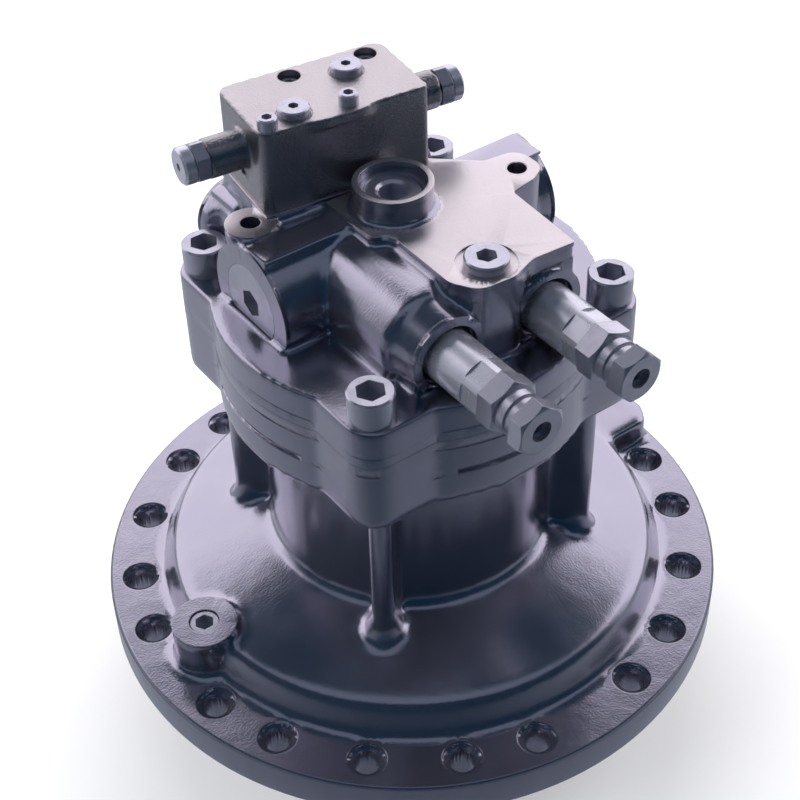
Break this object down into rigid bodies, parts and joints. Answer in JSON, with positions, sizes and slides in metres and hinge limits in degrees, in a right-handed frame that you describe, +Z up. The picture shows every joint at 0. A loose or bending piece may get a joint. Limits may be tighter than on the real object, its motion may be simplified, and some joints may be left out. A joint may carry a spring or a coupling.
{
  "type": "swing motor",
  "caption": "Axial piston swing motor: round drilled mounting flange, splined shaft, parking brake, two relief valves, make-up valves and an anti-reaction valve block on top.",
  "frame": {"origin": "centre of the flange's mounting face, on the shaft axis", "axes": "+Z up along the shaft from the mounting face, relief valves point to -Y, valve block lies at the back (+Y), filler boss at -X"},
  "size_m": [0.45, 0.45, 0.446],
  "materials": {
    "painted_cast_iron": "dark charcoal gloss paint over sand-cast iron",
    "painted_steel": "dark charcoal gloss paint on turned steel",
    "painted_fastener": "thin charcoal paint on steel",
    "machined_steel": "machined, oiled",
    "bearing_steel": "ground, bright",
    "bearing_bronze": "machined bronze",
    "seal_rubber": "satin black"
  },
  "bodies": {
    "housing": {"casing": "painted_cast_iron", "valve_casing": "painted_cast_iron", "casing_bolts": "painted_fastener", "casing_dowels": "machined_steel", "casing_o_ring": "seal_rubber", "filler_plug": "painted_fastener", "seal_carrier": "machined_steel", "retaining_ring": "machined_steel", "oil_seal": "seal_rubber", "front_bearing_outer_race": "bearing_steel", "rear_bearing_outer_race": "bearing_steel", "shoe_plate": "machined_steel", "valve_plate": "bearing_bronze", "separator_plates": "machined_steel", "brake_springs": "machined_steel", "centre_plug": "painted_fastener", "top_plug": "painted_fastener", "makeup_plug_left": "painted_fastener", "makeup_plug_right": "painted_fastener", "makeup_spring_left": "machined_steel", "makeup_spring_right": "machined_steel", "relief_body_left": "painted_steel", "relief_body_right": "painted_steel", "relief_lock_nuts": "painted_fastener", "relief_adjusters": "painted_fastener", "relief_spring_left": "machined_steel", "relief_spring_right": "machined_steel", "block_body": "painted_cast_iron", "block_screws": "painted_fastener", "block_plugs": "painted_fastener", "block_o_rings": "seal_rubber", "spool_springs": "machined_steel", "spool_nut_left": "painted_fastener", "spool_nut_right": "painted_fastener", "spool_cap_left": "painted_steel", "spool_cap_right": "painted_steel"},
    "rotor": {"drive_shaft": "machined_steel", "cylinder_block": "machined_steel", "spherical_bush": "machined_steel", "bush_springs": "machined_steel", "pistons": "machined_steel", "friction_plates": "bearing_bronze", "front_bearing_inner_race": "bearing_steel", "rear_bearing_inner_race": "bearing_steel"},
    "shoe_ring": {"piston_shoes": "bearing_bronze", "retainer_plate": "machined_steel"},
    "front_roller_set": {"front_bearing_rollers": "bearing_steel"},
    "rear_roller_set": {"rear_bearing_rollers": "bearing_steel"},
    "brake_ring": {"brake_piston": "machined_steel", "brake_piston_seals": "seal_rubber"},
    "makeup_left": {"makeup_plunger_left": "machined_steel"},
    "makeup_right": {"makeup_plunger_right": "machined_steel"},
    "relief_left": {"relief_poppet_left": "machined_steel"},
    "relief_right": {"relief_poppet_right": "machined_steel"},
    "valve_spool": {"spool": "machined_steel"}
  },
  "joints": [
    {"name": "rotor_spin", "type": "hinge", "parent": "housing", "child": "rotor", "pos_m": [0, 0, 0], "axis": [0, 0, 1], "continuous": true, "deforming": ["pistons"]},
    {"name": "shoe_ring_spin", "type": "hinge", "parent": "housing", "child": "shoe_ring", "pos_m": [0, 0, 0.11285], "axis": [0.2588, 0, 0.9659], "continuous": true},
    {"name": "front_roller_spin", "type": "hinge", "parent": "housing", "child": "front_roller_set", "pos_m": [0, 0, 0.036], "axis": [0, 0, 1], "continuous": true},
    {"name": "rear_roller_spin", "type": "hinge", "parent": "housing", "child": "rear_roller_set", "pos_m": [0, 0, 0.259], "axis": [0, 0, 1], "continuous": true},
    {"name": "brake_slide", "type": "slide", "parent": "housing", "child": "brake_ring", "axis": [0, 0, 1], "range_m": [0, 0.0015], "stiffness_N_per_m": 20000, "deforming": ["brake_springs"]},
    {"name": "makeup_left_slide", "type": "slide", "parent": "housing", "child": "makeup_left", "axis": [-1, 0, 0], "range_m": [0, 0.005], "stiffness_N_per_m": 1000, "deforming": ["makeup_spring_left"]},
    {"name": "makeup_right_slide", "type": "slide", "parent": "housing", "child": "makeup_right", "axis": [1, 0, 0], "range_m": [0, 0.005], "stiffness_N_per_m": 1000, "deforming": ["makeup_spring_right"]},
    {"name": "relief_left_slide", "type": "slide", "parent": "housing", "child": "relief_left", "axis": [0, -1, 0], "range_m": [0, 0.003], "stiffness_N_per_m": 2000, "deforming": ["relief_spring_left"]},
    {"name": "relief_right_slide", "type": "slide", "parent": "housing", "child": "relief_right", "axis": [0, -1, 0], "range_m": [0, 0.003], "stiffness_N_per_m": 2000, "deforming": ["relief_spring_right"]},
    {"name": "spool_slide", "type": "slide", "parent": "housing", "child": "valve_spool", "axis": [0.9921, -0.1253, 0], "range_m": [-0.003, 0.003], "stiffness_N_per_m": 500, "deforming": ["spool_springs"]}
  ],
  "couplings": [
    {"joint": "shoe_ring_spin", "follows": "rotor_spin", "ratio": 1},
    {"joint": "front_roller_spin", "follows": "rotor_spin", "ratio": 0.43333},
    {"joint": "rear_roller_spin", "follows": "rotor_spin", "ratio": 0.435}
  ]
}
